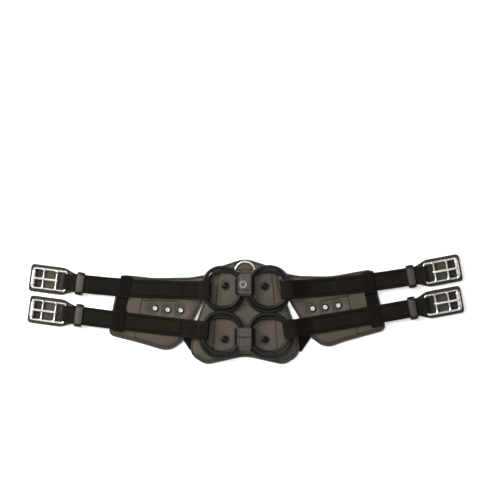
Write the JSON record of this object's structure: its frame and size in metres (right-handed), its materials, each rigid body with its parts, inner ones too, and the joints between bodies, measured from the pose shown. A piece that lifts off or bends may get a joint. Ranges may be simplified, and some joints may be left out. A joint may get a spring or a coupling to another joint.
{
  "type": "saddle girth",
  "caption": "Shaped leather saddle girth with split straps on rubber ring pairs, padded side panels, roller buckles on guards and a D-ring.",
  "frame": {"origin": "on the lying face, on the girth's centre line, between the upper and lower strap pairs", "axes": "+X along the girth, +Y towards the D-ring, which is the front edge, +Z away from the horse"},
  "size_m": [0.7156, 0.18, 0.0254],
  "materials": {
    "leather_face": "matt padded leather, dark warm grey",
    "leather_dark": "smooth leather, very dark grey brown",
    "lining": "soft lining leather",
    "foam": "closed-cell foam",
    "strap_web": "near-black stitched strap",
    "elastic": "black elastic web",
    "rubber": "dull charcoal rubber",
    "nickel": "warm nickel plate, fine brushed",
    "stud": "black lacquered caps",
    "eyelet": "black lacquered eyelets",
    "disc": "plain pale disc"
  },
  "bodies": {
    "centre": {"centre_lining": "lining", "centre_foam": "foam", "centre_face": "leather_face", "ring_loop_upper": "leather_dark", "ring_loop_lower": "leather_dark", "loop_disc": "disc", "press_studs": "stud", "d_ring_tab": "leather_dark", "elastic_link_left_upper": "elastic", "elastic_link_left_lower": "elastic", "elastic_link_right_upper": "elastic", "elastic_link_right_lower": "elastic", "ring_left_upper_over": "rubber", "ring_left_upper_under": "rubber", "ring_left_lower_over": "rubber", "ring_left_lower_under": "rubber", "ring_right_upper_over": "rubber", "ring_right_upper_under": "rubber", "ring_right_lower_over": "rubber", "ring_right_lower_under": "rubber"},
    "d_ring": {"d_ring": "nickel"},
    "pad_left": {"pad_lining_left": "lining", "pad_foam_left": "foam", "pad_face_left": "leather_face", "eyelets_left": "eyelet", "cross_band_left": "elastic"},
    "pad_right": {"pad_lining_right": "lining", "pad_foam_right": "foam", "pad_face_right": "leather_face", "eyelets_right": "eyelet", "cross_band_right": "elastic"},
    "arm_left_upper": {"strap_left_upper": "strap_web", "buckle_guard_left_upper": "leather_face"},
    "keeper_left_upper": {"keeper_left_upper": "leather_face"},
    "buckle_left_upper": {"buckle_frame_left_upper": "nickel"},
    "tongue_left_upper": {"tongue_left_upper": "nickel"},
    "roller_left_upper": {"roller_left_upper": "nickel"},
    "arm_left_lower": {"strap_left_lower": "strap_web", "buckle_guard_left_lower": "leather_face"},
    "keeper_left_lower": {"keeper_left_lower": "leather_face"},
    "buckle_left_lower": {"buckle_frame_left_lower": "nickel"},
    "tongue_left_lower": {"tongue_left_lower": "nickel"},
    "roller_left_lower": {"roller_left_lower": "nickel"},
    "arm_right_upper": {"strap_right_upper": "strap_web", "buckle_guard_right_upper": "leather_face"},
    "keeper_right_upper": {"keeper_right_upper": "leather_face"},
    "buckle_right_upper": {"buckle_frame_right_upper": "nickel"},
    "tongue_right_upper": {"tongue_right_upper": "nickel"},
    "roller_right_upper": {"roller_right_upper": "nickel"},
    "arm_right_lower": {"strap_right_lower": "strap_web", "buckle_guard_right_lower": "leather_face"},
    "keeper_right_lower": {"keeper_right_lower": "leather_face"},
    "buckle_right_lower": {"buckle_frame_right_lower": "nickel"},
    "tongue_right_lower": {"tongue_right_lower": "nickel"},
    "roller_right_lower": {"roller_right_lower": "nickel"}
  },
  "joints": [
    {"name": "d_ring_lift", "type": "hinge", "parent": "centre", "child": "d_ring", "pos_m": [0, 0.0612, 0.007], "axis": [1, 0, 0], "range_deg": [0, 7]},
    {"name": "pad_left_stretch", "type": "slide", "parent": "centre", "child": "pad_left", "axis": [-0.9959, 0.0906, 0], "range_m": [0, 0.01], "stiffness_N_per_m": 1200, "deforming": ["elastic_link_left_upper", "elastic_link_left_lower"]},
    {"name": "pad_right_stretch", "type": "slide", "parent": "centre", "child": "pad_right", "axis": [0.9898, 0.1426, 0], "range_m": [0, 0.01], "stiffness_N_per_m": 1200, "deforming": ["elastic_link_right_upper", "elastic_link_right_lower"]},
    {"name": "arm_left_upper_stretch", "type": "slide", "parent": "centre", "child": "arm_left_upper", "axis": [-0.9984, 0.0567, 0], "range_m": [0, 0.02], "stiffness_N_per_m": 4000, "deforming": ["ring_left_upper_over", "ring_left_upper_under"]},
    {"name": "keeper_left_upper_slide", "type": "slide", "parent": "arm_left_upper", "child": "keeper_left_upper", "axis": [-0.9914, 0.1305, 0], "range_m": [-0.015, 0.0025]},
    {"name": "buckle_left_upper_tilt", "type": "hinge", "parent": "arm_left_upper", "child": "buckle_left_upper", "pos_m": [-0.29342, 0.04484, 0.0091], "axis": [0.1305, 0.9914, 0], "range_deg": [0, 45]},
    {"name": "tongue_left_upper_lift", "type": "hinge", "parent": "buckle_left_upper", "child": "tongue_left_upper", "pos_m": [-0.30879, 0.04686, 0.0091], "axis": [0.1305, 0.9914, 0], "range_deg": [0, 110]},
    {"name": "roller_left_upper_turn", "type": "hinge", "parent": "buckle_left_upper", "child": "roller_left_upper", "pos_m": [-0.34597, 0.05176, 0.0091], "axis": [0.1305, 0.9914, 0], "continuous": true},
    {"name": "arm_left_lower_stretch", "type": "slide", "parent": "centre", "child": "arm_left_lower", "axis": [-0.993, 0.1184, 0], "range_m": [0, 0.02], "stiffness_N_per_m": 4000, "deforming": ["ring_left_lower_over", "ring_left_lower_under"]},
    {"name": "keeper_left_lower_slide", "type": "slide", "parent": "arm_left_lower", "child": "keeper_left_lower", "axis": [-0.9907, 0.1357, 0], "range_m": [-0.015, 0.0025]},
    {"name": "buckle_left_lower_tilt", "type": "hinge", "parent": "arm_left_lower", "child": "buckle_left_lower", "pos_m": [-0.29532, -0.00714, 0.0091], "axis": [0.1357, 0.9907, 0], "range_deg": [0, 45]},
    {"name": "tongue_left_lower_lift", "type": "hinge", "parent": "buckle_left_lower", "child": "tongue_left_lower", "pos_m": [-0.31068, -0.00503, 0.0091], "axis": [0.1357, 0.9907, 0], "range_deg": [0, 110]},
    {"name": "roller_left_lower_turn", "type": "hinge", "parent": "buckle_left_lower", "child": "roller_left_lower", "pos_m": [-0.34783, 0.00006, 0.0091], "axis": [0.1357, 0.9907, 0], "continuous": true},
    {"name": "arm_right_upper_stretch", "type": "slide", "parent": "centre", "child": "arm_right_upper", "axis": [0.9938, 0.1115, 0], "range_m": [0, 0.02], "stiffness_N_per_m": 4000, "deforming": ["ring_right_upper_over", "ring_right_upper_under"]},
    {"name": "keeper_right_upper_slide", "type": "slide", "parent": "arm_right_upper", "child": "keeper_right_upper", "axis": [0.9833, 0.1822, 0], "range_m": [-0.015, 0.0025]},
    {"name": "buckle_right_upper_tilt", "type": "hinge", "parent": "arm_right_upper", "child": "buckle_right_upper", "pos_m": [0.29495, 0.0578, 0.0091], "axis": [0.1822, -0.9833, 0], "range_deg": [0, 45]},
    {"name": "tongue_right_upper_lift", "type": "hinge", "parent": "buckle_right_upper", "child": "tongue_right_upper", "pos_m": [0.31019, 0.06062, 0.0091], "axis": [0.1822, -0.9833, 0], "range_deg": [0, 110]},
    {"name": "roller_right_upper_turn", "type": "hinge", "parent": "buckle_right_upper", "child": "roller_right_upper", "pos_m": [0.34706, 0.06746, 0.0091], "axis": [0.1822, -0.9833, 0], "continuous": true},
    {"name": "arm_right_lower_stretch", "type": "slide", "parent": "centre", "child": "arm_right_lower", "axis": [0.9857, 0.1685, 0], "range_m": [0, 0.02], "stiffness_N_per_m": 4000, "deforming": ["ring_right_lower_over", "ring_right_lower_under"]},
    {"name": "keeper_right_lower_slide", "type": "slide", "parent": "arm_right_lower", "child": "keeper_right_lower", "axis": [0.9834, 0.1814, 0], "range_m": [-0.015, 0.0025]},
    {"name": "buckle_right_lower_tilt", "type": "hinge", "parent": "arm_right_lower", "child": "buckle_right_lower", "pos_m": [0.29729, 0.00602, 0.0091], "axis": [0.1814, -0.9834, 0], "range_deg": [0, 45]},
    {"name": "tongue_right_lower_lift", "type": "hinge", "parent": "buckle_right_lower", "child": "tongue_right_lower", "pos_m": [0.31254, 0.00883, 0.0091], "axis": [0.1814, -0.9834, 0], "range_deg": [0, 110]},
    {"name": "roller_right_lower_turn", "type": "hinge", "parent": "buckle_right_lower", "child": "roller_right_lower", "pos_m": [0.34941, 0.01563, 0.0091], "axis": [0.1814, -0.9834, 0], "continuous": true}
  ]
}
